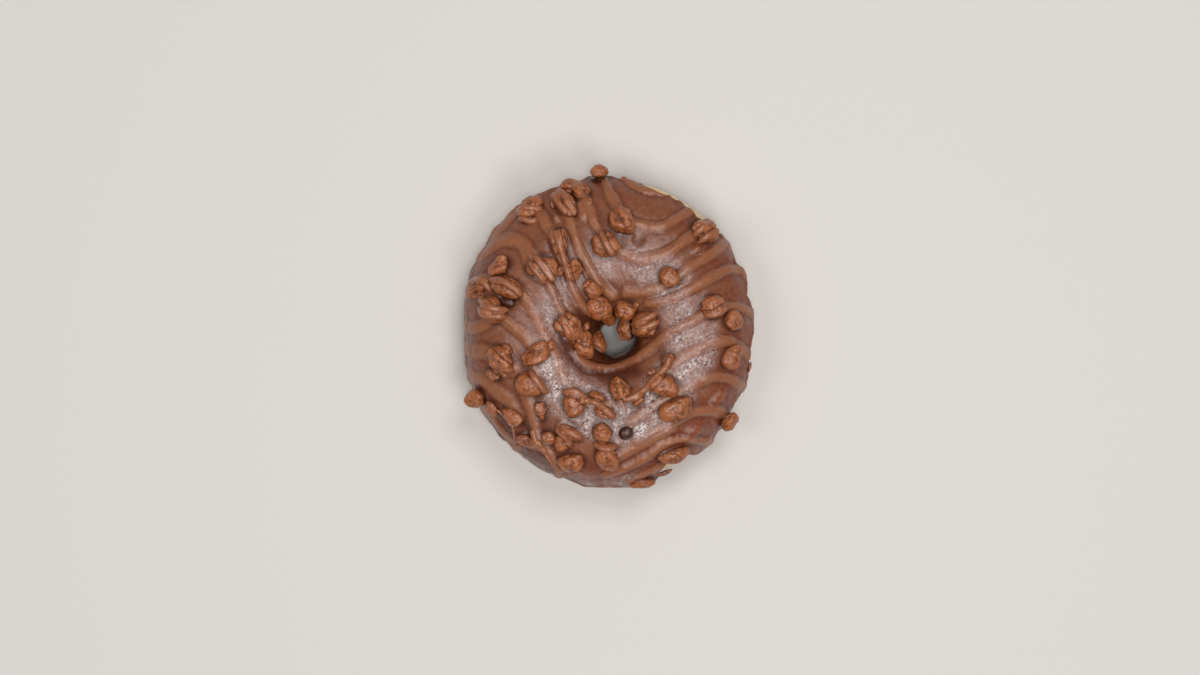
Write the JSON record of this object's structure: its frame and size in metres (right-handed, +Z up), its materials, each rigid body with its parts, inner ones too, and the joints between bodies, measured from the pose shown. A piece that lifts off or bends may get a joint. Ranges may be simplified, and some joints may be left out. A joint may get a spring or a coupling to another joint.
{
  "type": "iced ring doughnut",
  "caption": "Raised ring doughnut with a flat base, milk chocolate icing over its upper half, chocolate drizzle and crisp chocolate nuggets fused to the icing.",
  "frame": {"origin": "middle of the whole box seen from above, on the flat base that the doughnut rests on", "axes": "+Z up out of the icing, +X to the picture's right, +Y to the picture's top"},
  "size_m": [0.0934, 0.1042, 0.0368],
  "materials": {
    "dough": "matte fried dough, golden brown with a pale band at the waist",
    "chocolate": "satin milk chocolate icing with a dull bloom",
    "drizzle": "satin milk chocolate, lighter than the icing",
    "nuggets": "rough crisp pieces under satin milk chocolate"
  },
  "bodies": {
    "root": {"dough": "dough", "icing": "chocolate"}
  },
  "joints": []
}
